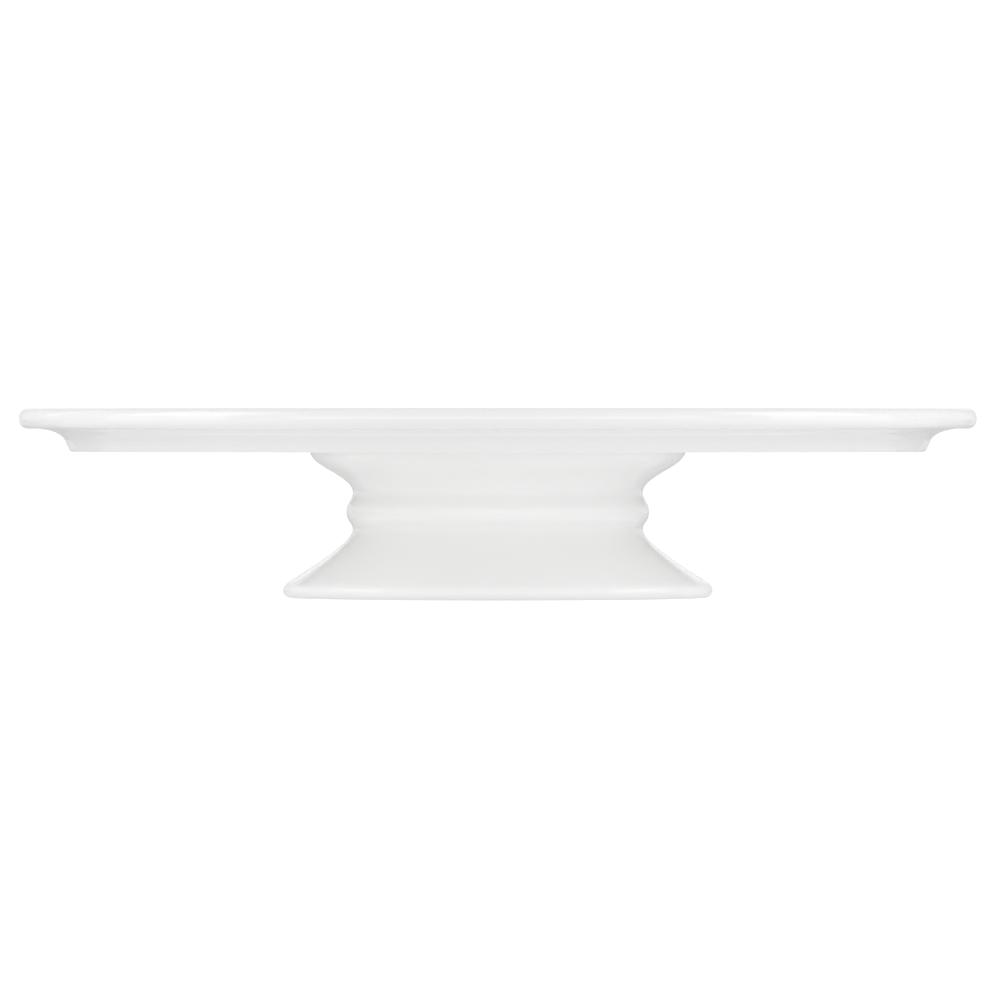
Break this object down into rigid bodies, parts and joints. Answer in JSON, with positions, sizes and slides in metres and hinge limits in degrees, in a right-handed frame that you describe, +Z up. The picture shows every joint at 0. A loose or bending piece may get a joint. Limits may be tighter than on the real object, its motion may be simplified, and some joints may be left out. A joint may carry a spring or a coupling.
{
  "type": "cake stand",
  "caption": "Low round cake stand: a thick-rimmed plate with a foot ring, clamped by a hidden stud and hand nut to a hollow spool-shaped pedestal.",
  "frame": {"origin": "the middle of the pedestal's base, on the surface that the stand rests on", "axes": "+Z up along the stand's axis, towards the cake surface; X and Y are free, because the stand is round"},
  "size_m": [0.32, 0.32, 0.0632],
  "materials": {
    "porcelain": "white, clear glossy glaze; the rings it stood on in the kiln are matt and unglazed",
    "adhesive": "cured two-part adhesive, pale and slightly cloudy",
    "zinc_steel": "bright zinc plate",
    "spring_steel": "phosphated, dark grey",
    "silicone": "translucent white silicone",
    "nylon": "natural nylon, matt",
    "black_rubber": "matt, cut from sheet",
    "brass": "turned, unpolished",
    "grip_plastic": "black moulded thermoplastic, fine matt texture"
  },
  "bodies": {
    "stand": {"cake_plate": "porcelain", "bond_layer": "adhesive", "stud_plate": "zinc_steel", "centre_stud": "zinc_steel", "seat_gasket": "silicone", "pedestal": "porcelain", "deck_bush": "nylon", "cushion_washer": "black_rubber"},
    "washers": {"load_washer": "zinc_steel", "spring_washer": "spring_steel"},
    "hand_nut": {"thread_insert": "brass", "hand_grip": "grip_plastic"}
  },
  "joints": [
    {"name": "nut_travel", "type": "slide", "parent": "stand", "child": "washers", "axis": [0, 0, -1], "range_m": [0, 0.0075]},
    {"name": "nut_turn", "type": "hinge", "parent": "washers", "child": "hand_nut", "pos_m": [0, 0, 0.035], "axis": [0, 0, -1], "range_deg": [0, 2159.9]}
  ],
  "couplings": [
    {"joint": "nut_travel", "follows": "nut_turn", "m_per_rad": 0.00019894}
  ]
}
